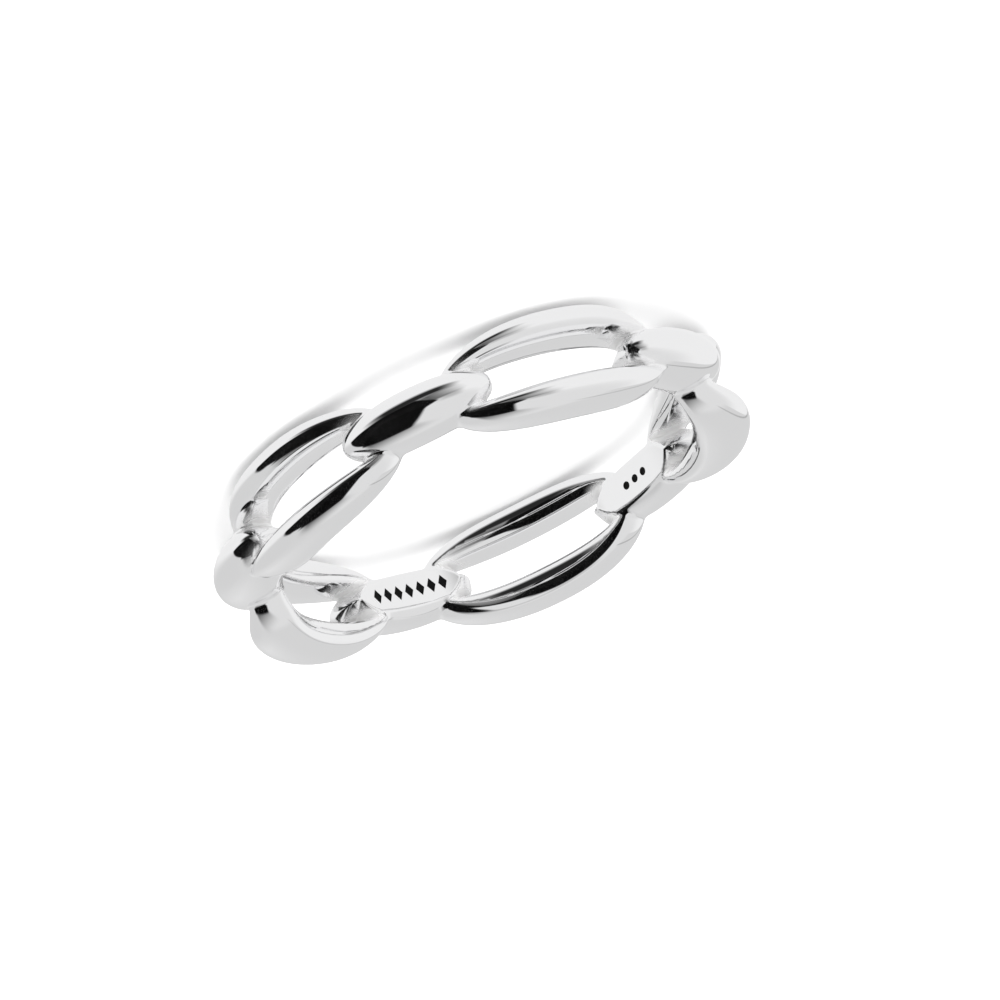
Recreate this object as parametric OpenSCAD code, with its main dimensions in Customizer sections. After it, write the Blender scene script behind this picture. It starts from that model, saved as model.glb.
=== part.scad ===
// A chain link ring, cast in one piece.
// Flat oval links and edge-on links follow each other round the finger hole.
// Each edge-on link covers the ends of its two flat neighbours, and its rounded
// noses curl in between the strands of their windows.
// The finger hole cuts all links to one smooth wall, which leaves leaf-shaped faces
// on the strands of the flat links and long pointed plates on the edge-on links.
// The ring's axis is Z. A flat link is centred on +Y and an edge-on link on -Y.

/* [Finger hole] */
// Inner diameter of the ring
bore_d = 17.3; // [14:0.1:22]

/* [Chain] */
// Number of flat links, with as many edge-on links between them
link_pairs = 5; // [4:1:6]
// Height above the finger hole of the line along which the links are laid out
pitch_height = 0.9; // [0.6:0.05:1.2]

/* [Flat links] */
// Width over a flat link, along the ring's axis
flat_w = 4.34; // [3.8:0.02:5.4]
// Width of the window through a flat link
window_w = 1.54; // [1.1:0.02:1.9]
// Height of a flat link above the finger hole at its middle
flat_h = 2.42; // [2:0.02:3]
// Height of a flat link above the finger hole at its ends
flat_end_h = 1.54; // [1:0.02:1.9]
// How far a flat link's end stays from the middle of the edge-on link over it
end_gap = 0.9; // [0.7:0.02:1.4]
// Thickness of a flat link beyond the end of its window
end_wall = 0.6; // [0.4:0.05:0.9]
// Width of the leaf-shaped face that a strand shows in the finger hole
leaf_w = 0.92; // [0.6:0.02:1.1]

/* [Edge-on links] */
// Length of an edge-on link from nose to nose
edge_len = 6.18; // [5.4:0.02:7]
// Width over an edge-on link, along the ring's axis
edge_w = 2.2; // [1.9:0.02:2.6]
// Height of an edge-on link above the finger hole
edge_h = 2.66; // [2.1:0.02:3.2]
// Width of the plate that an edge-on link shows in the finger hole
plate_w = 1.5; // [1.1:0.02:1.7]
// Length of that plate from tip to tip
plate_len = 4.7; // [4:0.05:4.8]
// Length of the plate's straight sides
plate_side = 3.0; // [2:0.05:3.4]

/* [Hidden] */

silver = "#d9dadc";
first_flat = 90;
bore_steps = 180;

// The line along which the links are laid out
bore_r = bore_d / 2;
pitch_r = bore_r + pitch_height;
half_pitch = PI * pitch_r / link_pairs;
along_share = pitch_r / bore_r;

// Half lengths along that line, and half widths along the ring's axis
flat_l = half_pitch - end_gap;
window_l = flat_l - end_wall;
flat_b = flat_w / 2;
window_b = window_w / 2;
strand_b = (flat_b - window_b) / 2;
leaf_b = leaf_w / 2;
edge_l = edge_len / 2;
edge_b = edge_w / 2;
plate_l = plate_len / 2 * along_share;
plate_side_l = plate_side / 2 * along_share;
plate_b = plate_w / 2;

// Exponents of the rounded outlines, where 2 is an ellipse and more is squarer
ellipse = 2;
flat_outline = 2.3;
window_outline = 3.7;
keel_outline = 1.3;

// How an edge-on link narrows to its noses, and how its crest drops there
nose_outline = 2.1;
nose_power = 0.42;
crest_outline = 2.4;
crest_power = 0.4;

// Share of a link's height at which its section is widest
flat_waist = 0.48;
edge_waist = 0.345;
// How much higher, as a share, the waist of an edge-on link lies at its noses
nose_lift = 0.4;
// How a flat link's height grows from its ends to its middle
rise_power = 2.8;
// Share of the way from a flat link's end to its middle at which its leaf faces begin
leaf_start = 0.54;
leaf_power = 1.5;
// Least depth of a flat link's section below its waist, as a share of the waist's height
least_depth = 0.55;
// Widest face that a section can show in the finger hole, as a share of its width
widest_face = 0.88;

// Numbers of facets along and round each link
flat_steps = 44;
flat_sides = 14;
edge_steps = 18;
edge_sides = 16;

// Signed power, for the rounded outlines
function soft(v, p) = sign(v) * pow(abs(v), p);

// Value held between 0 and 1
function clamped(v) = max(0, min(1, v));

// A point laid out along the ring, at height h above the finger hole
function bent(along, h, across) =
    let (turn = along / pitch_r * 180 / PI)
    [(bore_r + h) * cos(turn), (bore_r + h) * sin(turn), across];

// Depth below its waist of a section that shows a face of half width b in the finger hole
function depth_for(waist, half_width, b, outline) =
    waist / pow(1 - pow(min(b / half_width, widest_face), outline), 1 / outline);

// Height of a flat link's crest, where side is 0 at its ends and 1 at its middle
function flat_height(side) = flat_end_h + (flat_h - flat_end_h) * pow(side, rise_power);

// Depth of a strand below its waist: under the bore along its leaf face, above it at the ends
function flat_depth(side, waist) =
    let (
        past_bore = depth_for(waist, strand_b, leaf_b, ellipse) - waist,
        leaf = 1 - pow((1 - side) / (1 - leaf_start), leaf_power)
    )
    max(waist + past_bore * leaf, least_depth * waist);

// One point of a flat link: t goes round the link and a round the strand's section
function flat_point(t, a) =
    let (
        side = abs(sin(t)),
        high = flat_height(side),
        waist = flat_waist * high,
        reach = sin(a) > 0 ? high - waist : flat_depth(side, waist),
        outer = [flat_l * soft(cos(t), 2 / flat_outline), flat_b * soft(sin(t), 2 / flat_outline)],
        inner = [window_l * soft(cos(t), 2 / window_outline), window_b * soft(sin(t), 2 / window_outline)],
        place = inner + (outer - inner) * (1 + cos(a)) / 2
    )
    bent(place[0], waist + reach * sin(a), place[1]);

// Half width of the plate in the finger hole, at a distance along an edge-on link
function plate_at(along) = plate_b * clamped((plate_l - along) / (plate_l - plate_side_l));

// Depth of an edge-on link below its waist: past the bore along its plate, then curling up
function edge_depth(along, waist, half_width, outline) =
    along < plate_l
        ? depth_for(waist, half_width, plate_at(along), outline)
        : waist * sqrt(1 - pow((along - plate_l) / (edge_l - plate_l), 2));

// One point of an edge-on link: x goes from nose to nose and a round its section
function edge_point(x, a) =
    let (
        along = abs(x) * edge_l,
        half_width = edge_b * pow(1 - pow(abs(x), nose_outline), nose_power),
        crest = pow(1 - pow(abs(x), crest_outline), crest_power),
        waist = edge_waist * edge_h * (1 + nose_lift * x * x),
        keel = clamped((along - plate_side_l) / (plate_l - plate_side_l)),
        under = ellipse + (keel_outline - ellipse) * keel,
        outline = sin(a) > 0 ? ellipse : under,
        reach = sin(a) > 0 ? (edge_h - waist) * crest : edge_depth(along, waist, half_width, under)
    )
    bent(x * edge_l, waist + reach * soft(sin(a), 2 / outline), half_width * soft(cos(a), 2 / outline));

// The point at which an edge-on link's nose ends
function nose_tip(end) = bent(end * edge_l, edge_waist * edge_h * (1 + nose_lift), 0);

// The two triangles of one cell of a grid of points
function cell(a, b, c, d) = [[a, b, c], [a, c, d]];

// A flat link: a closed oval strand round its window
module flat_link() {
    points = [
        for (i = [0:flat_steps - 1], j = [0:flat_sides - 1])
            flat_point(360 * (i + 0.5) / flat_steps, 360 * (j + 0.5) / flat_sides)
    ];
    faces = [
        for (i = [0:flat_steps - 1], j = [0:flat_sides - 1])
            let (
                row = i * flat_sides,
                next_row = (i + 1) % flat_steps * flat_sides,
                k = (j + 1) % flat_sides
            )
            each cell(row + j, row + k, next_row + k, next_row + j)
    ];
    polyhedron(points, faces, convexity = 6);
}

// An edge-on link: a rounded bar that runs out to a nose at each end
module edge_link() {
    rings = edge_steps - 1;
    near_tip = rings * edge_sides;
    far_tip = near_tip + 1;
    last_row = near_tip - edge_sides;
    points = [
        for (i = [1:rings], j = [0:edge_sides - 1])
            edge_point(sin(180 * i / edge_steps - 90), 360 * (j + 0.5) / edge_sides),
        nose_tip(-1),
        nose_tip(1)
    ];
    faces = [
        for (i = [0:rings - 2], j = [0:edge_sides - 1])
            let (
                row = i * edge_sides,
                next_row = row + edge_sides,
                k = (j + 1) % edge_sides
            )
            each cell(row + j, next_row + j, next_row + k, row + k),
        for (j = [0:edge_sides - 1])
            let (k = (j + 1) % edge_sides)
            each [[near_tip, j, k], [far_tip, last_row + k, last_row + j]]
    ];
    polyhedron(points, faces, convexity = 4);
}

// The whole ring: all links fused, with the finger hole through them
module link_band() {
    color(silver)
    difference() {
        union() {
            for (i = [0:link_pairs - 1]) {
                rotate(first_flat + 360 * i / link_pairs) flat_link();
                rotate(first_flat + 360 * (i + 0.5) / link_pairs) edge_link();
            }
        }
        cylinder(r = bore_r, h = flat_w + edge_w, center = true, $fn = bore_steps);
    }
}

link_band();
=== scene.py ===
"""Looks of the chain link ring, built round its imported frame.

Sizes of the ring are in millimetres and become metres as meshes are made. The
ring's axis is Z, a flat link is centred on +Y and an edge-on link on -Y.
"""

from __future__ import annotations

import logging
import math
from abc import ABC, abstractmethod
from dataclasses import dataclass, field
from enum import Enum
from typing import ClassVar

import bpy
import numpy as np
from mathutils import Matrix, Vector
from mathutils.bvhtree import BVHTree
from mathutils.kdtree import KDTree

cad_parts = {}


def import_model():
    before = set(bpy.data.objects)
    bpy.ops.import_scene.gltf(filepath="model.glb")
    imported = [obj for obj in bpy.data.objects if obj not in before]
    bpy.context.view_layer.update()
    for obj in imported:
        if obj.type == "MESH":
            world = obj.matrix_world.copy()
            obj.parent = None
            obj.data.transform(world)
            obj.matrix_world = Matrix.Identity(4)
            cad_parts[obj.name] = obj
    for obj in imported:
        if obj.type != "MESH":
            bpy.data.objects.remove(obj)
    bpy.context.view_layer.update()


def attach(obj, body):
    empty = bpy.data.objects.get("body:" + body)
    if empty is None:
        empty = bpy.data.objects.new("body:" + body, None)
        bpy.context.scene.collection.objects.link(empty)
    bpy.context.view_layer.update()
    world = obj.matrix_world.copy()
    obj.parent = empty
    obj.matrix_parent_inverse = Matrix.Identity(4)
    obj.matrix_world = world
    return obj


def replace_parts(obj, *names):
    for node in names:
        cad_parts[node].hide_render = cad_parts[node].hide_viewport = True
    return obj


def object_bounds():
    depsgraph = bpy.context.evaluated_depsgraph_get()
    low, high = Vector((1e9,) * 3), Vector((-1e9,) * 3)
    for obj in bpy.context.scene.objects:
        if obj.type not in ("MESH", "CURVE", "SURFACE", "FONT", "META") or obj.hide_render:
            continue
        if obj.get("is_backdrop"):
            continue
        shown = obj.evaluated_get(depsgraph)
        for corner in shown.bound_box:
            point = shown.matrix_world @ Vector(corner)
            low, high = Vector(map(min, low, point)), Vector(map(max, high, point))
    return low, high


Array = np.ndarray
Inputs = dict[str, object]

MM = 0.001
NODE = "link_band"
# Mesh attribute that says how deep a point lies in a crease, where the metal is duller and shade is painted
# into its colour
CREASE_DULL_AND_SHADE = "crease_dull_and_shade"
# Least length, and least squared area, to divide by
TINY = 1e-9
SLIVER = 1e-18

log = logging.getLogger("chain_link_ring")


def soft(value: Array, power: float) -> Array:
    """Raises to a power and keeps the sign, for the rounded outlines."""
    return np.sign(value) * np.abs(value) ** power


def unit(vectors: Array) -> Array:
    """Scales each vector to length 1."""
    return vectors / np.maximum(np.linalg.norm(vectors, axis=-1, keepdims=True), TINY)


def eased(value: Array) -> Array:
    """Turns values from 0 to 1 into a smooth step between them."""
    held = np.clip(value, 0, 1)
    return held * held * (3 - 2 * held)


@dataclass(frozen=True)
class ChainLine:
    """The line round the finger hole along which the links are laid out.

    Attributes:
        bore_d: Diameter of the finger hole.
        link_pairs: Number of flat links, with as many edge-on links between them.
        pitch_height: Height of the line above the finger hole.
    """

    bore_d: float = 17.3
    link_pairs: int = 5
    pitch_height: float = 0.9

    @property
    def bore_r(self) -> float:
        """Radius of the finger hole."""
        return self.bore_d / 2

    @property
    def pitch_r(self) -> float:
        """Radius at which lengths along the links are true."""
        return self.bore_r + self.pitch_height

    @property
    def half_pitch(self) -> float:
        """Length from the middle of a flat link to that of the next edge-on link."""
        return math.pi * self.pitch_r / self.link_pairs

    def bent(self, along: Array, high: Array, across: Array) -> Array:
        """Bends straight measures round the finger hole.

        Args:
            along: Lengths along the line.
            high: Heights above the finger hole.
            across: Lengths along the ring's axis.

        Returns:
            Points, the last axis being X, Y and Z.
        """
        along, high, across = np.broadcast_arrays(along, high, across)
        turn = along / self.pitch_r
        radius = self.bore_r + high
        return np.stack([radius * np.cos(turn), radius * np.sin(turn), across], -1)


@dataclass
class ClosedForm:
    """A closed surface that tells how far any point lies from it.

    Attributes:
        points: Its corners.
        faces: Its quads and triangles, as lists of corner numbers.
    """

    points: Array
    faces: list[list[int]]
    normals: Array = field(init=False)
    corners: Array = field(init=False)
    tree: BVHTree = field(init=False)

    def __post_init__(self) -> None:
        """Finds a smooth normal at each corner and sorts the faces in space."""
        halves = [part for f in self.faces for part in ((f[0], f[1], f[2]), (f[0], f[2], f[-1]))]
        self.corners = np.array([part for part in halves if len(set(part)) == 3])
        a, b, c = (self.points[self.corners[:, i]] for i in range(3))
        flat = np.cross(b - a, c - a)
        self.normals = np.zeros_like(self.points)
        for i in range(3):
            np.add.at(self.normals, self.corners[:, i], flat)
        self.normals = unit(self.normals)
        self.tree = BVHTree.FromPolygons(self.points.tolist(), self.corners.tolist())

    def reach(self, points: Array) -> tuple[Array, Array]:
        """Finds signed distances and the outward directions there.

        Args:
            points: Where to look.

        Returns:
            Distances, negative inside, and unit normals of the nearest surface.
        """
        found = [self.tree.find_nearest(p) for p in points.tolist()]
        near = np.array([f[0] for f in found])
        face = self.corners[np.array([f[2] for f in found])]
        a, b, c = (self.points[face[:, i]] for i in range(3))
        ab, ac, ap = b - a, c - a, near - a
        d00, d01, d11 = (ab * ab).sum(1), (ab * ac).sum(1), (ac * ac).sum(1)
        d20, d21 = (ap * ab).sum(1), (ap * ac).sum(1)
        area = np.maximum(d00 * d11 - d01 * d01, SLIVER)
        v = np.clip((d11 * d20 - d01 * d21) / area, 0, 1)[:, None]
        w = np.clip((d00 * d21 - d01 * d20) / area, 0, 1)[:, None]
        first, second, third = (self.normals[face[:, i]] for i in range(3))
        smooth = unit((1 - v - w) * first + v * second + w * third)
        away = points - near
        side = np.where((away * smooth).sum(1) < 0, -1.0, 1.0)
        return side * np.linalg.norm(away, axis=1), smooth


class LinkForm(ABC):
    """A link of the chain that can build its own surface."""

    @abstractmethod
    def form(self) -> ClosedForm:
        """Builds the link's closed surface, its middle lying on +X."""


@dataclass(frozen=True)
class FlatLink(LinkForm):
    """A flat oval link: a closed strand round a long window.

    Attributes:
        line: The line along which it is laid out.
        width: Width over the link, along the ring's axis.
        window: Width of its window.
        height: Height above the finger hole at its middle.
        end_height: Height above the finger hole at its ends.
        end_gap: How far its end stays from the middle of the edge-on link over it.
        end_wall: Thickness of its end, beyond the window.
        leaf: Width of the leaf-shaped face that a strand shows in the finger hole.
        outline: Exponent of its outline, where 2 is an ellipse and more is squarer.
        window_outline: The same for the window.
        waist: Share of its height at which its section is widest.
        rise_power: Exponent of the rise from its ends to its middle.
        leaf_start: Share of the way from an end to the middle at which a leaf begins.
        leaf_power: Exponent of the leaf's growth from there.
        least_depth: Least depth below the waist, as a share of the waist's height.
        widest_face: Widest face that a section can show, as a share of its width.
        steps: Number of sections round the link.
        sides: Number of corners round a section.
    """

    line: ChainLine
    width: float = 4.34
    window: float = 1.54
    height: float = 2.42
    end_height: float = 1.54
    end_gap: float = 0.9
    end_wall: float = 0.6
    leaf: float = 0.92
    outline: float = 2.3
    window_outline: float = 3.7
    waist: float = 0.48
    rise_power: float = 2.8
    leaf_start: float = 0.54
    leaf_power: float = 1.5
    least_depth: float = 0.55
    widest_face: float = 0.88
    steps: int = 640
    sides: int = 150

    def section_depth(self, side: Array, waist: Array) -> Array:
        """Depth of the strand below its waist, past the hole along its leaf face."""
        strand = (self.width - self.window) / 4
        share = min(self.leaf / 2 / strand, self.widest_face)
        past = waist / math.sqrt(1 - share**2) - waist
        leaf = 1 - ((1 - side) / (1 - self.leaf_start)) ** self.leaf_power
        return np.maximum(waist + past * leaf, self.least_depth * waist)

    def form(self) -> ClosedForm:
        """Builds the strand's surface, once round the link and round its section."""
        t = 2 * math.pi * (np.arange(self.steps) + 0.5)[:, None] / self.steps
        a = 2 * math.pi * (np.arange(self.sides) + 0.5)[None] / self.sides
        half = self.line.half_pitch - self.end_gap
        side = np.abs(np.sin(t))
        high = self.end_height + (self.height - self.end_height) * side**self.rise_power
        waist = self.waist * high
        reach = np.where(np.sin(a) > 0, high - waist, self.section_depth(side, waist))
        share = (1 + np.cos(a)) / 2
        place = []
        for run, outer, inner in (
            (np.cos(t), half, half - self.end_wall),
            (np.sin(t), self.width / 2, self.window / 2),
        ):
            edge = outer * soft(run, 2 / self.outline)
            hole = inner * soft(run, 2 / self.window_outline)
            place.append(hole + (edge - hole) * share)
        points = self.line.bent(place[0], waist + reach * np.sin(a), place[1]).reshape(-1, 3)
        faces = []
        for i in range(self.steps):
            row, after = i * self.sides, (i + 1) % self.steps * self.sides
            for j in range(self.sides):
                k = (j + 1) % self.sides
                faces.append([row + j, after + j, after + k, row + k])
        return ClosedForm(points, faces)


@dataclass(frozen=True)
class EdgeOnLink(LinkForm):
    """An edge-on link: a rounded bar with a blunt nose at each end.

    Attributes:
        line: The line along which it is laid out.
        length: Length from nose to nose.
        width: Width over the link, along the ring's axis.
        height: Height above the finger hole.
        plate_w: Width of the plate that it shows in the finger hole.
        plate_len: Length of that plate from tip to tip.
        plate_side: Length of the plate's straight sides.
        plate_outline: Exponent of the plate's tips, where 1 is pointed and 2 is round.
        nose_outline: Exponent, along the link, of its narrowing to the noses.
        nose_power: Exponent of its width there.
        crest_outline: Exponent, along the link, of the drop of its crest.
        crest_power: Exponent of its height there.
        waist: Share of its height at which its section is widest.
        nose_lift: How much higher, as a share, the waist lies at the noses.
        keel_outline: Exponent of the section's underside beyond the plate.
        curl_outline: Exponent of the curl from the plate's tip up to the nose.
        widest_face: Widest face that a section can show, as a share of its width.
        steps: Number of sections from nose to nose.
        sides: Number of corners round a section.
    """

    line: ChainLine
    length: float = 6.18
    width: float = 2.2
    height: float = 2.66
    plate_w: float = 1.5
    plate_len: float = 4.7
    plate_side: float = 3.0
    plate_outline: float = 1.3
    nose_outline: float = 2.1
    nose_power: float = 0.42
    crest_outline: float = 2.4
    crest_power: float = 0.4
    waist: float = 0.345
    nose_lift: float = 0.4
    keel_outline: float = 1.15
    curl_outline: float = 1.9
    widest_face: float = 0.88
    steps: int = 300
    sides: int = 200

    def plate_ends(self) -> tuple[float, float]:
        """Lengths along the line to the plate's tip and to the end of its straight side."""
        stretch = self.line.pitch_r / self.line.bore_r
        return self.plate_len / 2 * stretch, self.plate_side / 2 * stretch

    def depth(self, along: Array, waist: Array, half: Array, under: Array) -> Array:
        """Finds how far the bar reaches below its waist: past the hole, then curling up.

        Args:
            along: Lengths from the bar's middle.
            waist: Heights of the waist above the finger hole.
            half: Half widths of the bar.
            under: Exponents of its outline below the waist.

        Returns:
            Depths below the waist.
        """
        tip, side_end = self.plate_ends()
        end = np.clip((along - side_end) / (tip - side_end), 0, 1)
        plate = self.plate_w / 2 * (1 - end**self.plate_outline) ** (1 / self.plate_outline)
        share = np.minimum(plate / half, self.widest_face)
        flat = waist / (1 - share**under) ** (1 / under)
        past = np.clip((along - tip) / (self.length / 2 - tip), 0, 1)
        curl = waist * (1 - past**self.curl_outline) ** (1 / self.curl_outline)
        return np.where(along < tip, flat, curl)

    def form(self) -> ClosedForm:
        """Builds the bar's surface from nose to nose."""
        tip, side_end = self.plate_ends()
        x = np.sin(math.pi * np.arange(1, self.steps)[:, None] / self.steps - math.pi / 2)
        a = 2 * math.pi * (np.arange(self.sides) + 0.5)[None] / self.sides
        along = np.abs(x) * self.length / 2
        half = self.width / 2 * (1 - np.abs(x) ** self.nose_outline) ** self.nose_power
        crest = (1 - np.abs(x) ** self.crest_outline) ** self.crest_power
        waist = self.waist * self.height * (1 + self.nose_lift * x * x)
        keel = np.clip((along - side_end) / (tip - side_end), 0, 1)
        under = 2 + (self.keel_outline - 2) * keel
        above = np.sin(a) > 0
        power = 2 / np.where(above, 2, under)
        reach = np.where(above, (self.height - waist) * crest, self.depth(along, waist, half, under))
        high, across = waist + reach * soft(np.sin(a), power), half * soft(np.cos(a), power)
        points = self.line.bent(x * self.length / 2, high, across).reshape(-1, 3)
        nose = self.waist * self.height * (1 + self.nose_lift)
        tips = self.line.bent(np.array([-1, 1]) * self.length / 2, nose, 0)
        near, last = len(points), len(points) - self.sides
        faces = []
        for j in range(self.sides):
            k = (j + 1) % self.sides
            for i in range(self.steps - 2):
                row, after = i * self.sides, (i + 1) * self.sides
                faces.append([row + j, row + k, after + k, after + j])
            faces += [[near, k, j], [near + 1, last + j, last + k]]
        return ClosedForm(np.vstack([points, tips]), faces)


class Edges(Enum):
    """Whether the edges and creases of the fused form are sharp or rounded."""

    SHARP = "sharp"
    ROUNDED = "rounded"


@dataclass
class FusedForm:
    """A flat link and its edge-on neighbour fused, with the finger hole cut out.

    Attributes:
        line: The line along which the links are laid out.
        flat: The flat link.
        edge_on: The edge-on link, its middle lying on +X as the flat link's does.
        outer_crease: Difference of distances over which two links blend on the outside.
        inner_crease: The same near the finger hole.
        crease_height: Height above the finger hole at which the one turns into the other.
        leaf_round: Difference over which a leaf face's edges blend into the strand.
        plate_round: The same at the edges of the plates.
        round_blend: Difference over which the one rounding turns into the other.
        dull_and_shade_gap: Distance from the next link at which a crease's dull finish and painted shade
            end.
        open_height: Height above the finger hole over which the dull finish and painted shade set in.
        dull_and_shade_top: Share of crease_height at which the dull finish and painted shade start to fade.
        window_half: Half width of the windows, within which all creases are inner ones.
        window_soft: Length past it over which sides that face outward come into the open.
        facing: Span of tilts between a side that faces inward and one that faces outward.
    """

    line: ChainLine
    flat: ClosedForm
    edge_on: ClosedForm
    outer_crease: float = 0.12
    inner_crease: float = 0.16
    crease_height: float = 1.5
    leaf_round: float = 0.4
    plate_round: float = 0.1
    round_blend: float = 0.4
    dull_and_shade_gap: float = 0.7
    open_height: float = 0.15
    dull_and_shade_top: float = 0.5
    window_half: float = 0.6
    window_soft: float = 0.15
    facing: float = 0.4

    @staticmethod
    def joined(a: Array, b: Array, fillet: Array | float) -> tuple[Array, Array]:
        """Takes the smaller of two distances, blended over a fillet.

        Args:
            a: One distance.
            b: The other.
            fillet: Difference over which they blend, or 0.

        Returns:
            The joined distance, and the share of a in it.
        """
        share = np.clip(0.5 + 0.5 * (b - a) / np.maximum(fillet, TINY), 0, 1)
        return b + (a - b) * share - fillet * share * (1 - share), share

    def each_link(self, points: Array) -> tuple[tuple[Array, Array], tuple[Array, Array]]:
        """Finds distance and way out for the flat link and for the edge-on link."""
        turn = math.pi / self.line.link_pairs
        c, s = math.cos(turn), math.sin(turn)
        turned = np.array([[c, -s, 0], [s, c, 0], [0, 0, 1]])
        edge, edge_way = self.edge_on.reach(points @ turned)
        return self.flat.reach(points), (edge, edge_way @ turned.T)

    def reach(self, points: Array, edges: Edges) -> tuple[Array, Array]:
        """Finds how far points lie outside the fused form, and the way out."""
        (flat, flat_way), (edge, edge_way) = self.each_link(points)
        rounding = float(edges is Edges.ROUNDED)
        radius = np.hypot(points[:, 0], points[:, 1])
        hole = radius - self.line.bore_r
        inner = 1 - eased(hole / self.crease_height)
        crease = self.outer_crease + (self.inner_crease - self.outer_crease) * inner
        links, share = self.joined(flat, edge, crease * rounding)
        way = edge_way + (flat_way - edge_way) * share[:, None]
        inward = -np.stack([points[:, 0] / radius, points[:, 1] / radius, 0 * radius], -1)
        leaf = np.clip(0.5 + 0.5 * (edge - flat) / self.round_blend, 0, 1)
        hole_round = rounding * (self.plate_round + (self.leaf_round - self.plate_round) * leaf)
        solid, share = self.joined(-links, hole, hole_round)
        way = inward + (way - inward) * share[:, None]
        return -solid, unit(way)

    def crease_dull_and_shade(self, points: Array, normals: Array) -> Array:
        """How deep points of the surface lie in a crease, where the metal is left dull and shade is painted.

        Args:
            points: Where to look.
            normals: The surface's way out there.

        Returns:
            Values from 0 in the open to 1 deep in an inner crease.
        """
        (flat, _), (edge, _) = self.each_link(points)
        near = 1 - eased(np.maximum(flat, edge) / self.dull_and_shade_gap)
        high = np.hypot(points[:, 0], points[:, 1]) - self.line.bore_r
        inner = 1 - eased(high / self.crease_height - self.dull_and_shade_top)
        inner *= eased(high / self.open_height)
        beyond = eased((np.abs(points[:, 2]) - self.window_half) / self.window_soft)
        inner *= 1 - beyond * eased(0.5 + np.sign(points[:, 2]) * normals[:, 2] / self.facing)
        # This mask dulls the metal in the creases and also paints shade into its colour there.
        return near * inner


class CornerSums:
    """Sums, for each cell of a grid, of what the surface does where it crosses the cell."""

    def __init__(self, total: int) -> None:
        """Starts with empty sums for a number of cells."""
        self.pull = np.zeros((total, 3, 3))
        self.aim = np.zeros((total, 3))
        self.mean = np.zeros((total, 3))
        self.count = np.zeros(total)

    def add(self, cells: Array, where: Array, way: Array) -> None:
        """Adds crossings, with the way out there, to their cells."""
        np.add.at(self.pull, cells, way[:, :, None] * way[:, None])
        np.add.at(self.aim, cells, way * (way * where).sum(1)[:, None])
        np.add.at(self.mean, cells, where)
        np.add.at(self.count, cells, 1)

    def corners(self, used: Array, flat_share: float, farthest: float) -> Array:
        """Places one corner in each used cell, on the edges and creases that cross it.

        Args:
            used: Numbers of the cells.
            flat_share: Least share of the strongest pull that still counts as one.
            farthest: Longest way of a corner from the middle of its crossings.

        Returns:
            The corners.
        """
        mean = self.mean[used] / self.count[used, None]
        size, turn = np.linalg.eigh(self.pull[used])
        firm = size > flat_share * size[:, -1:]
        inverse = np.where(firm, 1 / np.maximum(size, TINY), 0)
        rest = self.aim[used] - (self.pull[used] @ mean[..., None])[..., 0]
        move = (turn @ (inverse[..., None] * (np.swapaxes(turn, 1, 2) @ rest[..., None])))[..., 0]
        length = np.linalg.norm(move, axis=1, keepdims=True)
        return mean + move * np.minimum(1, farthest / np.maximum(length, TINY))


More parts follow.
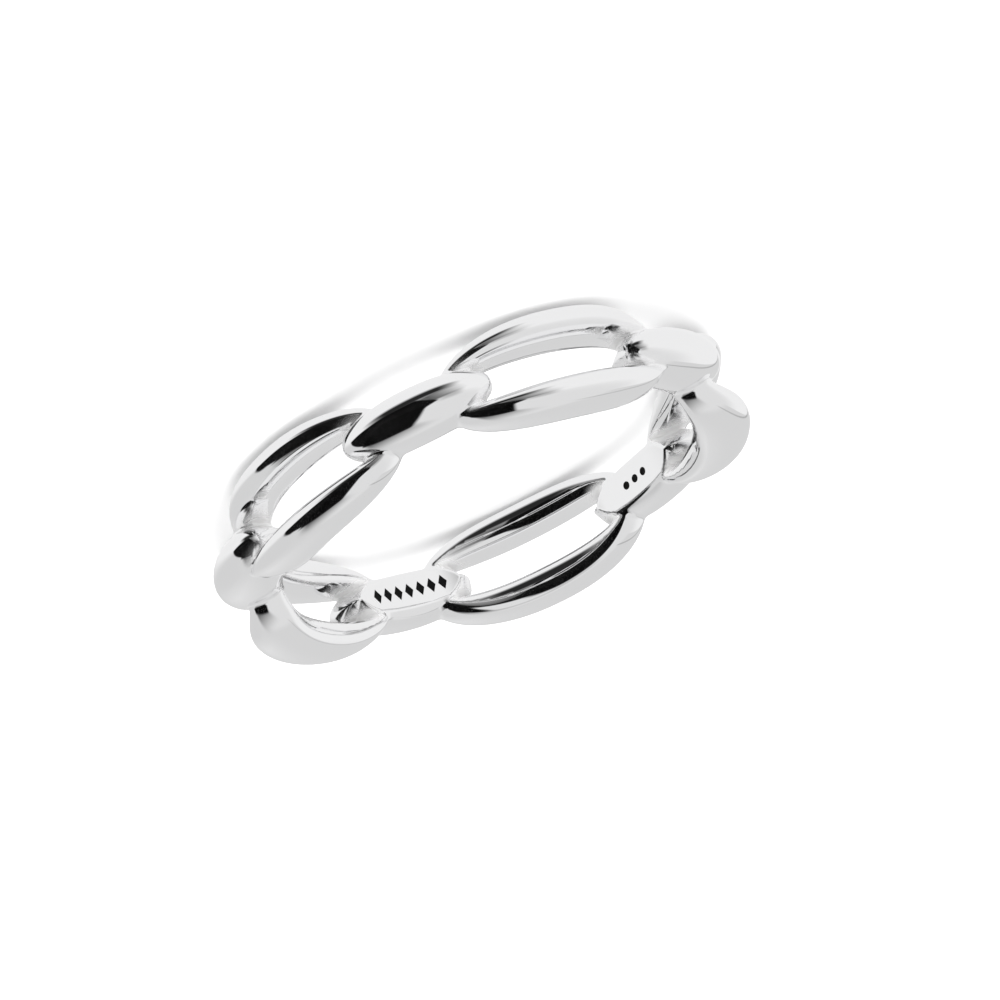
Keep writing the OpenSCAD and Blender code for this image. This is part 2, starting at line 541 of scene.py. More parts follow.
@dataclass
class Sector:
    """The twentieth of the ring that its mirror planes leave, as a mesh.

    It runs from the middle of a flat link to the middle of the next edge-on link,
    on the high Z side. A grid finds where the surface crosses it, and each cell of
    the grid gets one corner of the mesh, placed on the edges and creases.

    Attributes:
        fused: The form to mesh.
        pitch: Step of the grid.
        top: Height above the finger hole to which the grid goes.
        depth: Depth below the wall of the finger hole at which it starts.
        half_width: Length along the ring's axis to which it goes.
        shift: Share of a step by which its heights are shifted.
        flat_share: Least share of the strongest pull that moves a corner.
        farthest: Longest way of a corner from its crossings, in steps.
        passes: Number of times that the corners are moved to the rounded form.
    """

    fused: FusedForm
    pitch: float = 0.0962
    top: float = 2.95
    depth: float = 0.16
    half_width: float = 2.4
    shift: float = 0.37
    flat_share: float = 0.08
    farthest: float = 0.9
    passes: int = 3
    runs: int = field(init=False)
    sides: tuple[Array, Array, Array] = field(init=False)
    shape: tuple[int, ...] = field(init=False)
    cells: tuple[int, ...] = field(init=False)
    points: Array = field(init=False)
    normals: Array = field(init=False)
    crease_dull_and_shade: Array = field(init=False)
    faces: Array = field(init=False)

    def __post_init__(self) -> None:
        """Lays the grid and meshes the surface in it."""
        line = self.fused.line
        self.runs = round(line.half_pitch / self.pitch)
        along = (np.arange(self.runs + 2) - 0.5) * line.half_pitch / self.runs
        high = np.arange(-self.depth, self.top, self.pitch) + self.shift * self.pitch
        across = (np.arange(round(self.half_width / self.pitch) + 2) - 0.5) * self.pitch
        self.sides = (along, high, across)
        self.shape = tuple(len(side) for side in self.sides)
        self.cells = tuple(count - 1 for count in self.shape)
        self.mesh()

    def placed(self, index: Array) -> Array:
        """Points of the grid at whole or broken steps along its three sides."""
        return self.fused.line.bent(
            *(np.interp(index[:, i], np.arange(len(side)), side) for i, side in enumerate(self.sides))
        )

    def mesh(self) -> None:
        """Places a corner in each crossed cell, joins them by quads and rounds the form."""
        every = np.stack(np.meshgrid(*(np.arange(n) for n in self.shape), indexing="ij"), -1)
        value = self.fused.reach(self.placed(every.reshape(-1, 3).astype(float)), Edges.SHARP)[0]
        value = value.reshape(self.shape)
        sums = CornerSums(math.prod(self.cells))
        quads = []
        for axis in range(3):
            start, ends = self.crossed(value, axis)
            where = self.crossings(start, ends, axis)
            way = self.fused.reach(where, Edges.SHARP)[1]
            around = self.cells_around(start, axis)
            for number in around.T:
                there = number >= 0
                sums.add(number[there], where[there], way[there])
            quads.append(self.quads(around, start, ends[0] < 0, axis))
        used, faces = np.unique(np.vstack(quads), return_inverse=True)
        points = sums.corners(used, self.flat_share, self.pitch * self.farthest)
        cell = np.stack(np.unravel_index(used, self.cells), 1)
        for _ in range(self.passes):
            points = self.on_planes(points, cell)
            away, way = self.fused.reach(points, Edges.ROUNDED)
            points = points - way * away[:, None]
        self.points = self.on_planes(points, cell)
        self.normals = self.fused.reach(self.points, Edges.ROUNDED)[1]
        self.crease_dull_and_shade = self.fused.crease_dull_and_shade(self.points, self.normals)
        self.faces = self.split(self.points, self.normals, faces.reshape(-1, 4))

    def crossed(self, value: Array, axis: int) -> tuple[Array, tuple[Array, Array]]:
        """Finds the steps along one axis that the surface crosses.

        Args:
            value: Distance at each point of the grid.
            axis: The axis.

        Returns:
            The grid point at which each such step starts, and the distances at its ends.
        """
        step = np.eye(3, dtype=int)[axis]
        low = value[tuple(slice(0, n - step[i]) for i, n in enumerate(self.shape))]
        high = value[tuple(slice(step[i], None) for i in range(3))]
        start = np.argwhere((low < 0) != (high < 0))
        return start, (low[tuple(start.T)], high[tuple(start.T)])

    def crossings(self, start: Array, ends: tuple[Array, Array], axis: int) -> Array:
        """Narrows each crossed step down to the point where the surface crosses it."""
        step = np.eye(3, dtype=int)[axis]
        at_low, at_high = ends
        low, high = np.zeros(len(start)), np.ones(len(start))
        for _ in range(self.passes):
            share = low + (high - low) * at_low / (at_low - at_high)
            where = self.placed(start + share[:, None] * step)
            now, _ = self.fused.reach(where, Edges.SHARP)
            same = (now < 0) == (at_low < 0)
            low, high = np.where(same, share, low), np.where(same, high, share)
            at_low, at_high = np.where(same, now, at_low), np.where(same, at_high, now)
        return where

    def cells_around(self, start: Array, axis: int) -> Array:
        """Numbers the four cells round each step, or gives -1 outside the grid."""
        one, other = (i for i in range(3) if i != axis)
        around = []
        for back in ((1, 1), (0, 1), (0, 0), (1, 0)):
            cell = start.copy()
            cell[:, one] -= back[0]
            cell[:, other] -= back[1]
            inside = ((cell >= 0) & (cell < self.cells)).all(1)
            held = np.clip(cell, 0, np.array(self.cells) - 1)
            around.append(np.where(inside, np.ravel_multi_index(held.T, self.cells), -1))
        return np.stack(around, 1)

    def quads(self, around: Array, start: Array, from_inside: Array, axis: int) -> Array:
        """Makes a quad round each crossed step between the mirror planes."""
        keep = (around >= 0).all(1) & (start[:, 0] >= 1) & (start[:, 2] >= 1)
        keep &= start[:, 0] <= self.runs - (axis == 0)
        same_turn = from_inside == (axis == 1)
        return np.where(same_turn[:, None], around, around[:, ::-1])[keep]

    def on_planes(self, points: Array, cell: Array) -> Array:
        """Holds the corners of the outermost cells on the mirror planes."""
        points = points.copy()
        points[cell[:, 0] == 0, 1] = 0
        points[cell[:, 2] == 0, 2] = 0
        turn = math.pi / self.fused.line.link_pairs
        across = np.array([-math.sin(turn), math.cos(turn), 0])
        end = cell[:, 0] == self.runs
        points[end] -= (points[end] @ across)[:, None] * across
        return points

    @staticmethod
    def split(points: Array, normals: Array, quads: Array) -> Array:
        """Splits each quad into the two triangles that follow the surface best."""
        choices, scores = [], []
        for corners in ((0, 1, 2, 0, 2, 3), (0, 1, 3, 1, 2, 3)):
            score = 0
            for part in (corners[:3], corners[3:]):
                a, b, c = (points[quads[:, i]] for i in part)
                flat = unit(np.cross(b - a, c - a))
                score = score + sum((flat * normals[quads[:, i]]).sum(1) for i in part)
            choices.append(quads[:, corners].reshape(-1, 2, 3))
            scores.append(score)
        best = (scores[0] >= scores[1])[:, None, None]
        return np.where(best, choices[0], choices[1]).reshape(-1, 3)


@dataclass
class Skin:
    """A surface as arrays, in millimetres.

    Attributes:
        points: Its corners.
        normals: The smooth normal at each corner.
        crease_dull_and_shade: How deep each corner lies in a crease, from 0 to 1, which dulls the metal and
            paints shade there.
        faces: Its triangles, as rows of corner numbers.
    """

    points: Array
    normals: Array
    crease_dull_and_shade: Array
    faces: Array

    @classmethod
    def whole(cls, sector: Sector, merge: float = 1e-4) -> Skin:
        """Mirrors and turns the sector round the ring and joins the copies.

        Args:
            sector: The twentieth of the ring to copy.
            merge: Distance within which corners are one.

        Returns:
            The whole ring's surface.
        """
        pairs = sector.fused.line.link_pairs
        points, normals, faces = [], [], []
        for turn in 2 * math.pi * np.arange(pairs) / pairs + math.pi / 2:
            c, s = math.cos(turn), math.sin(turn)
            turned = np.array([[c, s, 0], [-s, c, 0], [0, 0, 1]])
            for mirror in ((1, 1, 1), (1, -1, 1), (1, 1, -1), (1, -1, -1)):
                first = len(points) * len(sector.points)
                points.append((sector.points * mirror) @ turned)
                normals.append((sector.normals * mirror) @ turned)
                flip = math.prod(mirror) < 0
                faces.append(first + (sector.faces[:, ::-1] if flip else sector.faces))
        copies = len(points)
        points, normals, faces = np.vstack(points), np.vstack(normals), np.vstack(faces)
        key = np.round(points / merge).astype(np.int64)
        _, one, same = np.unique(key, axis=0, return_index=True, return_inverse=True)
        return cls(points[one], normals[one], np.tile(sector.crease_dull_and_shade, copies)[one], same.reshape(-1)[faces])


@dataclass(frozen=True)
class HandPolish:
    """The faint unevenness that polishing by hand leaves: a sum of seeded waves.

    Attributes:
        depth: Typical depth of the waves.
        shortest: Shortest wave.
        longest: Longest wave.
        waves: Number of waves.
        seed: Seed of their directions, lengths and phases.
        sunk: Depth by which the whole surface is worn, in typical depths.
    """

    depth: float = 0.006
    shortest: float = 2.2
    longest: float = 6.0
    waves: int = 48
    seed: int = 11
    sunk: float = 2.6

    def wear(self, skin: Skin) -> None:
        """Wears a surface down by the waves and tilts its normals with them."""
        rng = np.random.default_rng(self.seed)
        lengths = rng.uniform(self.shortest, self.longest, self.waves)
        pull = unit(rng.normal(size=(self.waves, 3))) * (2 * math.pi / lengths)[:, None]
        angle = skin.points @ pull.T + rng.uniform(0, 2 * math.pi, self.waves)
        share = self.depth * math.sqrt(2 / self.waves)
        rise = share * np.sin(angle).sum(1) - self.sunk * self.depth
        slope = share * np.cos(angle) @ pull
        slope -= (slope * skin.normals).sum(1)[:, None] * skin.normals
        skin.points = skin.points + skin.normals * rise[:, None]
        skin.normals = unit(skin.normals - slope)


@dataclass(frozen=True)
class Solid:
    """A small closed solid: its points, and its faces as lists of corner numbers."""

    points: Array
    faces: list[list[int]]

    def in_metres(self) -> Solid:
        """Gives the solid in metres, from millimetres."""
        return Solid(self.points * MM, self.faces)

    @classmethod
    def gathered(cls, solids: list[Solid]) -> Solid:
        """Gathers several solids in one."""
        faces, first = [], 0
        for solid in solids:
            faces += [[first + corner for corner in face] for face in solid.faces]
            first += len(solid.points)
        return cls(np.vstack([solid.points for solid in solids]), faces)


class Piece:
    """Ways to make plain Blender objects."""

    @staticmethod
    def plain(name: str, solid: Solid) -> bpy.types.Object:
        """Makes an object from a solid and links it to the scene."""
        mesh = bpy.data.meshes.new(name)
        mesh.from_pydata(solid.points.tolist(), [], solid.faces)
        piece = bpy.data.objects.new(name, mesh)
        bpy.context.scene.collection.objects.link(piece)
        return piece


@dataclass(frozen=True)
class MarkRow:
    """A row of equal marks on one plate.

    Attributes:
        plate: Angle of the plate's middle round the ring, in degrees.
        count: Number of marks.
        pitch: Length along the plate from one mark to the next.
        half_length: Half the length of a mark along the plate.
        half_width: Half its width along the ring's axis.
        corners: Number of its corners: 4 make a lozenge, many make a dot.
    """

    plate: float
    count: int
    pitch: float
    half_length: float
    half_width: float
    corners: int

    def prism(self, number: int, line: ChainLine, span: tuple[float, float], inset: float) -> Solid:
        """Builds one mark as a prism that stands in the wall of the finger hole.

        Args:
            number: The mark's number in the row.
            line: The line of the chain.
            span: Depths below the wall at which the prism starts and ends.
            inset: Length by which its outline is drawn in.

        Returns:
            Its points and faces.
        """
        along = self.pitch * (number - (self.count - 1) / 2)
        turn = math.radians(self.plate) + along / line.bore_r
        out = np.array([math.cos(turn), math.sin(turn), 0])
        aside = np.array([-math.sin(turn), math.cos(turn), 0])
        axis = np.array([0, 0, 1])
        n = self.corners
        angle = 2 * math.pi * np.arange(n)[:, None] / n
        outline = (self.half_length - inset) * np.cos(angle) * aside
        outline = outline + (self.half_width - inset) * np.sin(angle) * axis
        points = np.vstack([outline + (line.bore_r + depth) * out for depth in span])
        sides = [[i, (i + 1) % n, n + (i + 1) % n, n + i] for i in range(n)]
        return Solid(points, [list(range(n))[::-1], list(range(n, 2 * n)), *sides])


@dataclass(frozen=True)
class PlateMarks:
    """Engraved and blackened marks on two plates: a row of lozenges and three dots.

    Attributes:
        line: The line of the chain.
        rows: The rows of marks.
        depth: Depth of the marks.
        fill_sunk: Depth at which their black fill starts.
        clear: Gap between the fill and the metal.
        reach_out: How far the cutting solid stands out of the wall.
    """

    line: ChainLine
    rows: tuple[MarkRow, ...] = (
        MarkRow(plate=54.0, count=7, pitch=0.5, half_length=0.19, half_width=0.33, corners=4),
        MarkRow(plate=126.0, count=3, pitch=0.55, half_length=0.17, half_width=0.17, corners=28),
    )
    depth: float = 0.12
    fill_sunk: float = 0.045
    clear: float = 0.004
    reach_out: float = 0.3

    def prisms(self, span: tuple[float, float], inset: float) -> Solid:
        """Builds all marks as prisms between two depths, drawn in by an inset."""
        return Solid.gathered(
            [row.prism(i, self.line, span, inset) for row in self.rows for i in range(row.count)]
        )

    def cutter(self) -> Solid:
        """Builds the solid that cuts the marks out of the plates."""
        return self.prisms((-self.reach_out, self.depth), 0.0)

    def fill(self) -> Solid:
        """Builds the black fill that lies sunk in the marks."""
        return self.prisms((self.fill_sunk, self.depth - self.clear), self.clear)


@dataclass
class LinkBand:
    """The whole ring as a Blender piece.

    Attributes:
        skin: Its surface.
        marks: The marks cut into two of its plates.
        name: The piece's name.
        wall_share: Least share of a face's normal that lies along the radius on a plate.
        same: Distance within which a corner of the cut surface is one of the skin's.
    """

    skin: Skin
    marks: PlateMarks
    name: str = "polished_link_band"
    wall_share: float = 0.8
    same: float = 1e-3

    def cut(self) -> tuple[Array, Array]:
        """Cuts the marks out of the surface.

        Returns:
            Points and triangles of the cut surface.
        """
        band = Piece.plain("uncut_band", Solid(self.skin.points, self.skin.faces.tolist()))
        cutter = Piece.plain("mark_cutter", self.marks.cutter())
        change = band.modifiers.new("marks", "BOOLEAN")
        change.operation, change.solver, change.object = "DIFFERENCE", "MANIFOLD", cutter
        done = band.evaluated_get(bpy.context.evaluated_depsgraph_get()).to_mesh()
        done.calc_loop_triangles()
        points = np.empty(len(done.vertices) * 3)
        done.vertices.foreach_get("co", points)
        faces = np.empty(len(done.loop_triangles) * 3, int)
        done.loop_triangles.foreach_get("vertices", faces)
        for piece in (band, cutter):
            mesh = piece.data
            bpy.data.objects.remove(piece)
            bpy.data.meshes.remove(mesh)
        return points.reshape(-1, 3), faces.reshape(-1, 3)

    def dressed(self, points: Array, faces: Array) -> tuple[Array, Array]:
        """Finds the normal at each corner of each face, and the crease mask at each point, for dull metal
        and painted shade.
        """
        tree = KDTree(len(self.skin.points))
        for number, point in enumerate(self.skin.points.tolist()):
            tree.insert(point, number)
        tree.balance()
        found = [tree.find(point) for point in points.tolist()]
        nearest = np.array([f[1] for f in found])
        old = np.array([f[2] for f in found]) < self.same
        normals = self.skin.normals[nearest][faces]
        a, b, c = (points[faces[:, i]] for i in range(3))
        flat = unit(np.cross(b - a, c - a))
        middle = (a + b + c) / 3
        radius = np.hypot(middle[:, 0], middle[:, 1])
        inward = -(flat[:, :2] * middle[:, :2]).sum(1) / radius
        deep = radius > self.marks.line.bore_r + self.marks.fill_sunk
        engraved = ~old[faces].any(1) & ((inward < self.wall_share) | deep)
        return np.where(engraved[:, None, None], flat[:, None], normals), self.skin.crease_dull_and_shade[nearest]

    def build(self) -> bpy.types.Object:
        """Makes the ring's mesh, with its smooth normals and the crease mask that dulls the metal and paints
        shade.
        """
        points, faces = self.cut()
        normals, crease_dull_and_shade = self.dressed(points, faces)
        band = Piece.plain(self.name, Solid(points, faces.tolist()).in_metres())
        band.data.polygons.foreach_set("use_smooth", np.ones(len(faces), bool))
        band.data.normals_split_custom_set(normals.reshape(-1, 3).tolist())
        band.data.attributes.new(CREASE_DULL_AND_SHADE, "FLOAT", "POINT").data.foreach_set("value", crease_dull_and_shade)
        return band


class Nodes:
    """Short ways to add and join shader nodes in one tree."""

    def __init__(self, tree: bpy.types.NodeTree) -> None:
        """Works in the given tree."""
        self.tree = tree

    @classmethod
    def in_group(cls, name: str, sockets: dict[str, str], result: str) -> Nodes:
        """Starts a node group.

        Args:
            name: The group's name.
            sockets: Kind of each of its inputs by name, Float or Vector.
            result: Name of its output, a number.

        Returns:
            Nodes in the group's tree.
        """
        tree = bpy.data.node_groups.new(name, "ShaderNodeTree")
        for socket, kind in sockets.items():
            tree.interface.new_socket(socket, in_out="INPUT", socket_type="NodeSocket" + kind)
        tree.interface.new_socket(result, in_out="OUTPUT", socket_type="NodeSocketFloat")
        return cls(tree)

    def add(self, kind: str, inputs: Inputs | None = None, **settings: object) -> bpy.types.Node:
        """Adds a node.

        Args:
            kind: The node's type, without the word ShaderNode.
            inputs: Values of its inputs by name, or the sockets to join to them.
            **settings: Its settings by name.

        Returns:
            The new node.
        """
        node = self.tree.nodes.new(kind if kind.startswith("NodeGroup") else "ShaderNode" + kind)
        for name, setting in settings.items():
            setattr(node, name, setting)
        self.feed(node, inputs or {})
        return node

    def feed(self, node: bpy.types.Node, inputs: Inputs) -> None:
        """Sets a node's inputs by name."""
        for name, value in inputs.items():
            self.put(node.inputs[name], value)

    def put(self, socket: bpy.types.NodeSocket, value: object) -> None:
        """Joins a socket to another, or sets its value."""
        if isinstance(value, bpy.types.NodeSocket):
            self.tree.links.new(value, socket)
        else:
            socket.default_value = value

    def dot(self, one: object, other: object) -> bpy.types.NodeSocket:
        """Adds a dot product of two vectors and returns its value."""
        node = self.add("VectorMath", operation="DOT_PRODUCT")
        self.put(node.inputs[0], one)
        self.put(node.inputs[1], other)
        return node.outputs["Value"]

    def figure(self, operation: str, *values: object) -> bpy.types.NodeSocket:
        """Adds a Math node and returns its value."""
        node = self.add("Math", operation=operation)
        for socket, value in zip(node.inputs, values):
            self.put(socket, value)
        return node.outputs[0]

    def mixed(self, share: object, one: object, other: object) -> bpy.types.NodeSocket:
        """Adds a mix of two numbers, the share being that of the other."""
        mix = self.add("Mix", {"Factor": share, "A": one, "B": other}, data_type="FLOAT")
        return mix.outputs["Result"]


@dataclass(frozen=True)
class Card:
    """A flat card of the studio tent, as the ring sees it.

    Attributes:
        azimuth: Angle of its middle from the camera's side, anticlockwise from above.
        elevation: Angle of its middle above the horizon.
        roll: Angle by which it is turned in its own plane.
        half_width: Half its width, where 1 is its distance from the ring.
        half_height: Half its height, likewise.
        soft_sides: How far its sides fade either way, likewise.
        soft_ends: How far its ends fade either way, likewise.
        tone: Its brightness.
    """

    azimuth: float
    elevation: float
    roll: float
    half_width: float
    half_height: float
    soft_sides: float
    soft_ends: float
    tone: float

    def axes(self, camera_azimuth: float) -> tuple[Vector, Vector, Vector]:
        """Finds the ways to its middle, along its width and along its height."""
        az, el, roll = (math.radians(v) for v in (camera_azimuth + self.azimuth, self.elevation, self.roll))
        middle = Vector((math.cos(el) * math.cos(az), math.cos(el) * math.sin(az), math.sin(el)))
        level = Vector((-math.sin(az), math.cos(az), 0))
        up = middle.cross(level)
        along_width = level * math.cos(roll) + up * math.sin(roll)
        along_height = up * math.cos(roll) - level * math.sin(roll)
        return middle, along_width, along_height


@dataclass
class StudioTent:
    """A white tent with dark cards round the camera, which the metal mirrors.

    Attributes:
        camera_azimuth: Angle of the camera's side round the ring.
        tone: Brightness of the tent in the metal.
        backdrop: Brightness of the tent for everything else.
        nearest: Least share of a card's distance at which a direction still meets it.
        cards: The cards, each over those before it.
    """

    WAYS: ClassVar[tuple[str, ...]] = ("Way", "Middle", "Level", "Up")
    MEASURES: ClassVar[tuple[str, ...]] = ("Half Width", "Half Height", "Soft Sides", "Soft Ends")

    camera_azimuth: float
    tone: float = 0.885
    backdrop: float = 1.9
    nearest: float = 1e-3
    # Azimuth, elevation, roll, half width, half height, soft sides, soft ends, tone
    cards: tuple[Card, ...] = (
        Card(0, 88, 0, 1.1, 1.1, 0.6, 0.6, 0.75),
        Card(-27, 32, 0, 0.2, 0.22, 0.15, 0.15, 0.5),
        Card(120, 21, -25, 2.5, 0.77, 0.6, 0.36, 0.67),
        Card(178, 24, 0, 0.58, 0.66, 0.015, 0.12, 0.68),
        Card(160, 16, 0, 0.1, 0.3, 0.3, 0.4, 0.82),
        Card(-154, 24, 0, 0.012, 0.66, 0.012, 0.12, 0.4),
        Card(-4, 9, 10, 0.35, 0.41, 0.6, 0.12, 0.011),
        Card(10, -31, 3, 0.71, 0.34, 0.36, 0.18, 0.022),
        Card(97, 65, 24, 0.19, 0.27, 0.5, 0.08, 0.002),
        Card(42, 19, 8, 0.95, 0.73, 0.06, 0.1, 0.005),
        Card(45, 51, 43, 0.63, 0.4, 0.08, 0.04, 0.002),
    )

    def card_group(self) -> bpy.types.NodeTree:
        """Builds the node group that says how far a direction lies on a card."""
        sockets = {**dict.fromkeys(self.WAYS, "Vector"), **dict.fromkeys(self.MEASURES, "Float")}
        nodes = Nodes.in_group("StudioCard", sockets, "Mask")
        given = nodes.add("NodeGroupInput").outputs
        ahead = nodes.dot(given["Way"], given["Middle"])
        far = nodes.figure("MAXIMUM", ahead, self.nearest)
        mask = nodes.figure("GREATER_THAN", ahead, self.nearest)
        for along, half, blur in (("Level", "Half Width", "Soft Sides"), ("Up", "Half Height", "Soft Ends")):
            aside = nodes.figure("DIVIDE", nodes.dot(given["Way"], given[along]), far)
            edge = {
                "Value": nodes.figure("ABSOLUTE", aside),
                "From Min": nodes.figure("SUBTRACT", given[half], given[blur]),
                "From Max": nodes.figure("ADD", given[half], given[blur]),
                "To Min": 1.0,
                "To Max": 0.0,
            }
            fade = nodes.add("MapRange", edge, interpolation_type="SMOOTHSTEP")
            mask = nodes.figure("MULTIPLY", mask, fade.outputs["Result"])
        nodes.add("NodeGroupOutput", {"Mask": mask})
        return nodes.tree

    def hang(self) -> None:
        """Sets up the world as the tent."""
        world = bpy.data.worlds.new("studio_tent")
        bpy.context.scene.world = world
        world.use_nodes = True
        world.node_tree.nodes.clear()
        nodes = Nodes(world.node_tree)
        group = self.card_group()
        way = nodes.add("TexCoord").outputs["Generated"]
        tone: object = self.tone
        for card in self.cards:
            measures = (card.half_width, card.half_height, card.soft_sides, card.soft_ends)
            values = (way, *card.axes(self.camera_azimuth), *measures)
            place = dict(zip((*self.WAYS, *self.MEASURES), values))
            mask = nodes.add("Group", place, node_tree=group).outputs["Mask"]
            tone = nodes.mixed(mask, tone, card.tone)
        mirrored = nodes.add("LightPath").outputs["Is Glossy Ray"]
        strength = nodes.mixed(mirrored, self.backdrop, tone)
        light = nodes.add("Background", {"Color": (1, 1, 1, 1), "Strength": strength})
        nodes.add("OutputWorld", {"Surface": light.outputs[0]})


@dataclass(frozen=True)
class PhotoCamera:
    """The camera at the photograph's angle to the ring.

    The picture's upright is turned, as the photograph shows the ring stood up.

    Attributes:
        azimuth: Angle of the camera's side round the ring, in degrees.
        elevation: Angle of the camera above the floor.
        turn: Angle by which the picture's upright is turned.
        distance: Distance from the ring's middle.
        pixels_per_mm: Scale of the picture at that distance.
        centre_x: Pixel column of the ring's middle.
        centre_y: Pixel row of the ring's middle.
        frame_px: Width of the picture in pixels.
        sensor: Width of the camera's sensor.
        near: Distance at which its view starts, in metres.
        far: Distance at which its view ends, in metres.
    """

    azimuth: float = -96.262
    elevation: float = 20.936
    turn: float = 155.741
    distance: float = 484.33
    pixels_per_mm: float = 25.2146
    centre_x: float = 478.84
    centre_y: float = 485.70
    frame_px: float = 1000.0
    sensor: float = 36.0
    near: float = 0.01
    far: float = 10.0

    def place(self) -> bpy.types.Object:
        """Makes the scene's camera."""
        az, el, turn = (math.radians(v) for v in (self.azimuth, self.elevation, self.turn))
        back = Vector((math.cos(el) * math.cos(az), math.cos(el) * math.sin(az), math.sin(el)))
        right = Vector((-math.sin(az), math.cos(az), 0))
        up = back.cross(right)
        picture_right = right * math.cos(turn) + up * math.sin(turn)
        picture_up = back.cross(picture_right)
        aside = picture_right * (self.frame_px / 2 - self.centre_x)
        lift = picture_up * (self.centre_y - self.frame_px / 2)
        centre = (aside + lift) / self.pixels_per_mm
        lens = bpy.data.cameras.new("photo_camera")
        lens.sensor_width = self.sensor
        lens.lens = self.pixels_per_mm * self.distance / self.frame_px * self.sensor
        lens.clip_start, lens.clip_end = self.near, self.far
        camera = bpy.data.objects.new("photo_camera", lens)
        place = Matrix((picture_right, picture_up, back)).transposed().to_4x4()
        camera.matrix_world = Matrix.Translation((back * self.distance + centre) * MM) @ place
        bpy.context.scene.collection.objects.link(camera)
        bpy.context.scene.camera = camera
        return camera


@dataclass
class FineGrain:
    """Node group of fine grain: a value that varies over the surface.

    Attributes:
        detail: Number of ever finer layers in the noise.
        least: Noise at which the value is lowest.
        most: Noise at which the value is highest.
    """

    detail: float = 4.0
    least: float = 0.3
    most: float = 0.7
    tree: bpy.types.NodeTree = field(init=False)

    def __post_init__(self) -> None:
        """Builds the group."""
        nodes = Nodes.in_group("FineGrain", dict.fromkeys(("Scale", "Low", "High"), "Float"), "Value")
        given = nodes.add("NodeGroupInput").outputs
        place = nodes.add("TexCoord").outputs["Object"]
        noise = nodes.add("TexNoise", {"Vector": place, "Scale": given["Scale"], "Detail": self.detail})
        spread = {
            "Value": noise.outputs["Fac"],
            "From Min": self.least,
            "From Max": self.most,
            "To Min": given["Low"],
            "To Max": given["High"],
        }
        nodes.add("NodeGroupOutput", {"Value": nodes.add("MapRange", spread).outputs["Result"]})
        self.tree = nodes.tree

    def value(self, nodes: Nodes, scale: float, low: float, high: float) -> bpy.types.NodeSocket:
        """Adds the group to a material.

        Args:
            nodes: The material's nodes.
            scale: Grains per metre.
            low: Least value.
            high: Greatest value.

        Returns:
            The varying value.
        """
        given = {"Scale": scale, "Low": low, "High": high}
        return nodes.add("Group", given, node_tree=self.tree).outputs["Value"]


class Finish(ABC):
    """A finish, made as a material with one Principled shader."""

    name: str

    @abstractmethod
    def paint(self, nodes: Nodes) -> Inputs:
        """Adds the nodes that the shader needs, and gives its inputs by name."""

    def material(self) -> bpy.types.Material:
        """Builds the finish."""
        finish = bpy.data.materials.new(self.name)
        finish.use_nodes = True
        nodes = Nodes(finish.node_tree)
        nodes.feed(finish.node_tree.nodes["Principled BSDF"], self.paint(nodes))
        return finish


@dataclass(frozen=True)
class PolishedSilver(Finish):
    """Polished silver, duller down in the creases, with shade painted darker into its colour there.

    Attributes:
        grain: The grain that varies its haze.
        bright: Colour of the polished metal.
        painted_crease_shade: Darker colour painted into the creases as shade.
        least_haze: Least roughness of the polished metal.
        most_haze: Greatest roughness of the polished metal.
        dull: Roughness in the creases.
        least_shine: Share of the metal that still shines deep in the creases.
        haze_scale: Grains of haze per metre.
        name: Name of the material.
    """

    grain: FineGrain
    bright: tuple[float, float, float] = (0.95, 0.95, 0.955)
    painted_crease_shade: tuple[float, float, float] = (0.8, 0.797, 0.794)
    least_haze: float = 0.03
    most_haze: float = 0.06
    dull: float = 0.5
    least_shine: float = 0.4
    haze_scale: float = 700.0
    name: str = "polished_silver"

    def paint(self, nodes: Nodes) -> Inputs:
        """Mixes the polished metal with the duller metal of the creases, whose colour is darkened as painted
        shade.
        """
        crease = nodes.add("Attribute", attribute_name=CREASE_DULL_AND_SHADE).outputs["Fac"]
        # The crease mask darkens the colour here: painted shade in the creases.
        colors = {"Factor": crease, "A": (*self.bright, 1), "B": (*self.painted_crease_shade, 1)}
        haze = self.grain.value(nodes, self.haze_scale, self.least_haze, self.most_haze)
        shine = nodes.add("MapRange", {"Value": crease, "To Min": 1.0, "To Max": self.least_shine})
        return {
            "Base Color": nodes.add("Mix", colors, data_type="RGBA").outputs["Result"],
            "Roughness": nodes.mixed(crease, haze, self.dull),
            "Metallic": shine.outputs["Result"],
        }


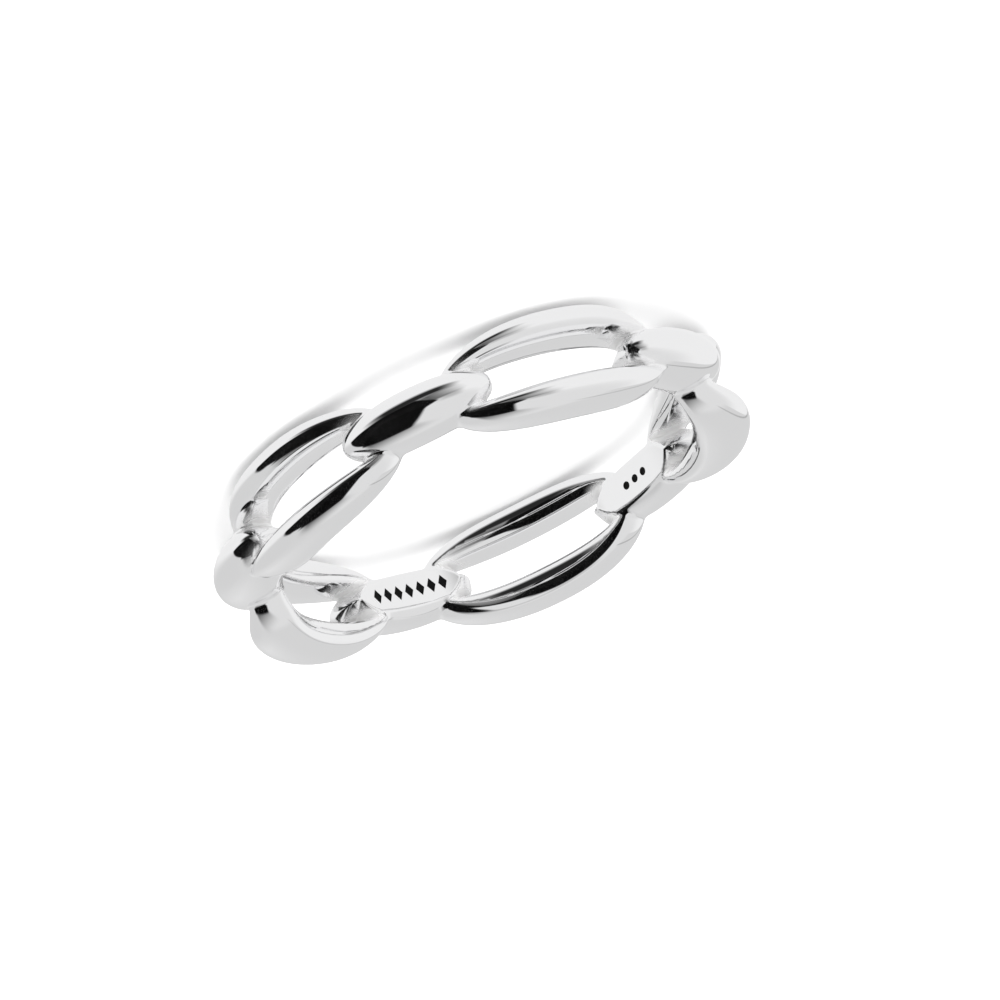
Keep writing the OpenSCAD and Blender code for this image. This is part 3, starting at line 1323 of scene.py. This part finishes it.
@dataclass(frozen=True)
class BlackPatina(Finish):
    """The black fill of engraved marks.

    Attributes:
        grain: The grain that varies its roughness.
        color: Its colour.
        gloss: Its specular level.
        least_rough: Its least roughness.
        most_rough: Its greatest roughness.
        grain_scale: Grains of it per metre.
        name: Name of the material.
    """

    grain: FineGrain
    color: tuple[float, float, float] = (0.004, 0.004, 0.004)
    gloss: float = 0.08
    least_rough: float = 0.45
    most_rough: float = 0.7
    grain_scale: float = 9000.0
    name: str = "black_patina"

    def paint(self, nodes: Nodes) -> Inputs:
        """Gives matt black with a fine grain."""
        rough = self.grain.value(nodes, self.grain_scale, self.least_rough, self.most_rough)
        return {"Base Color": (*self.color, 1), "Specular IOR Level": self.gloss, "Roughness": rough}


@dataclass(frozen=True)
class PalePaper(Finish):
    """Plain pale paper.

    Attributes:
        tone: Its brightness.
        rough: Its roughness.
        name: Name of the material.
    """

    tone: float = 0.95
    rough: float = 0.9
    name: str = "pale_paper"

    def paint(self, nodes: Nodes) -> Inputs:
        """Gives one matt tone, which needs no nodes."""
        color = (self.tone, self.tone, self.tone, 1)
        return {"Base Color": color, "Roughness": self.rough, "Specular IOR Level": 0.0}


@dataclass(frozen=True)
class PaleFloor:
    """The plain pale floor that the ring lies on, which the metal doesn't mirror.

    Attributes:
        paper: Its finish.
        half: Half its width, in metres.
    """

    paper: PalePaper = PalePaper()
    half: float = 1.0

    def lay(self, height: float) -> bpy.types.Object:
        """Lays the floor at a height, in metres."""
        sides = ((-1, -1), (1, -1), (1, 1), (-1, 1))
        corners = np.array([(x * self.half, y * self.half, height) for x, y in sides])
        floor = Piece.plain("pale_floor", Solid(corners, [[0, 1, 2, 3]]))
        floor.data.materials.append(self.paper.material())
        floor.visible_glossy = False
        floor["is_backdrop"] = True
        return floor


def main() -> None:
    """Builds the ring, its marks and finishes, the studio and the camera."""
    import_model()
    line = ChainLine()
    fused = FusedForm(line, FlatLink(line).form(), EdgeOnLink(line).form())
    skin = Skin.whole(Sector(fused))
    HandPolish().wear(skin)
    marks = PlateMarks(line)
    band = LinkBand(skin, marks).build()
    fill = Piece.plain("blackened_marks", marks.fill().in_metres())
    grain = FineGrain()
    band.data.materials.append(PolishedSilver(grain).material())
    fill.data.materials.append(BlackPatina(grain).material())
    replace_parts(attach(band, "root"), NODE)
    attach(fill, "root")
    for piece in (band, fill):
        log.info("%s: %d faces", piece.name, len(piece.data.polygons))
    camera = PhotoCamera()
    camera.place()
    PaleFloor().lay(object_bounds()[0][2])
    StudioTent(camera.azimuth).hang()
    bpy.context.scene.view_settings.view_transform = "Standard"


if __name__ == "__main__":
    logging.basicConfig(level=logging.INFO, format="%(message)s")
    main()
